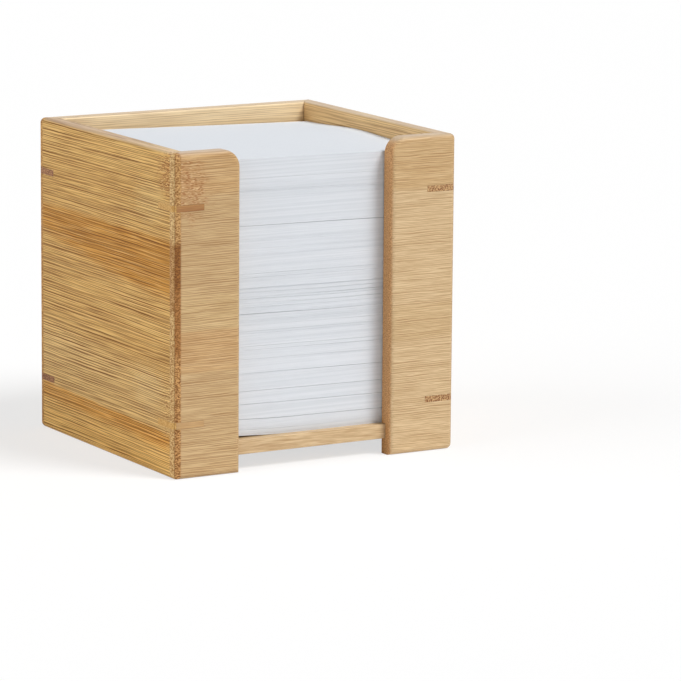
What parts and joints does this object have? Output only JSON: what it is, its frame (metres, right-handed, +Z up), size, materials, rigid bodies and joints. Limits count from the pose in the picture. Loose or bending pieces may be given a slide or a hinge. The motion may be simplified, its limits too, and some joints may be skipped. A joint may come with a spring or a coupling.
{
  "type": "memo box",
  "caption": "Open-top bamboo memo box with a slotted front, a raised base board and a loose stack of square note sheets.",
  "frame": {"origin": "on the desk, under the middle of the box", "axes": "+Z up, +X to the right seen from the front, +Y to the back; the slotted front faces -Y"},
  "size_m": [0.109, 0.101, 0.11],
  "materials": {
    "bamboo_side": "satin laminated bamboo",
    "bamboo_front": "satin laminated bamboo, finer grain",
    "bamboo_key": "satin bamboo, darker",
    "note_paper": "matt white uncoated"
  },
  "bodies": {
    "box": {"left_panel": "bamboo_side", "right_panel": "bamboo_side", "back_panel": "bamboo_side", "front_left_strip": "bamboo_front", "front_right_strip": "bamboo_front", "base_panel": "bamboo_front", "key_front_left_upper": "bamboo_key", "key_front_left_lower": "bamboo_key", "key_front_right_upper": "bamboo_key", "key_front_right_lower": "bamboo_key", "key_back_left_upper": "bamboo_key", "key_back_left_lower": "bamboo_key", "key_back_right_upper": "bamboo_key", "key_back_right_lower": "bamboo_key"},
    "lower_stack": {"paper_wad_01": "note_paper", "paper_wad_02": "note_paper", "paper_wad_03": "note_paper", "paper_wad_04": "note_paper", "paper_wad_05": "note_paper", "paper_wad_06": "note_paper"},
    "middle_stack": {"paper_wad_07": "note_paper", "paper_wad_08": "note_paper", "paper_wad_09": "note_paper"},
    "upper_stack": {"paper_wad_10": "note_paper", "paper_wad_11": "note_paper"},
    "top_sheet": {"top_sheet": "note_paper"}
  },
  "joints": [
    {"name": "lower_stack_lift", "type": "slide", "parent": "box", "child": "lower_stack", "axis": [0, 0, 1], "range_m": [0, 0.115]},
    {"name": "middle_stack_lift", "type": "slide", "parent": "lower_stack", "child": "middle_stack", "axis": [0, 0, 1], "range_m": [0, 0.075]},
    {"name": "upper_stack_lift", "type": "slide", "parent": "middle_stack", "child": "upper_stack", "axis": [0, 0, 1], "range_m": [0, 0.045]},
    {"name": "top_sheet_lift", "type": "slide", "parent": "upper_stack", "child": "top_sheet", "axis": [0, 0, 1], "range_m": [0, 0.025]}
  ]
}
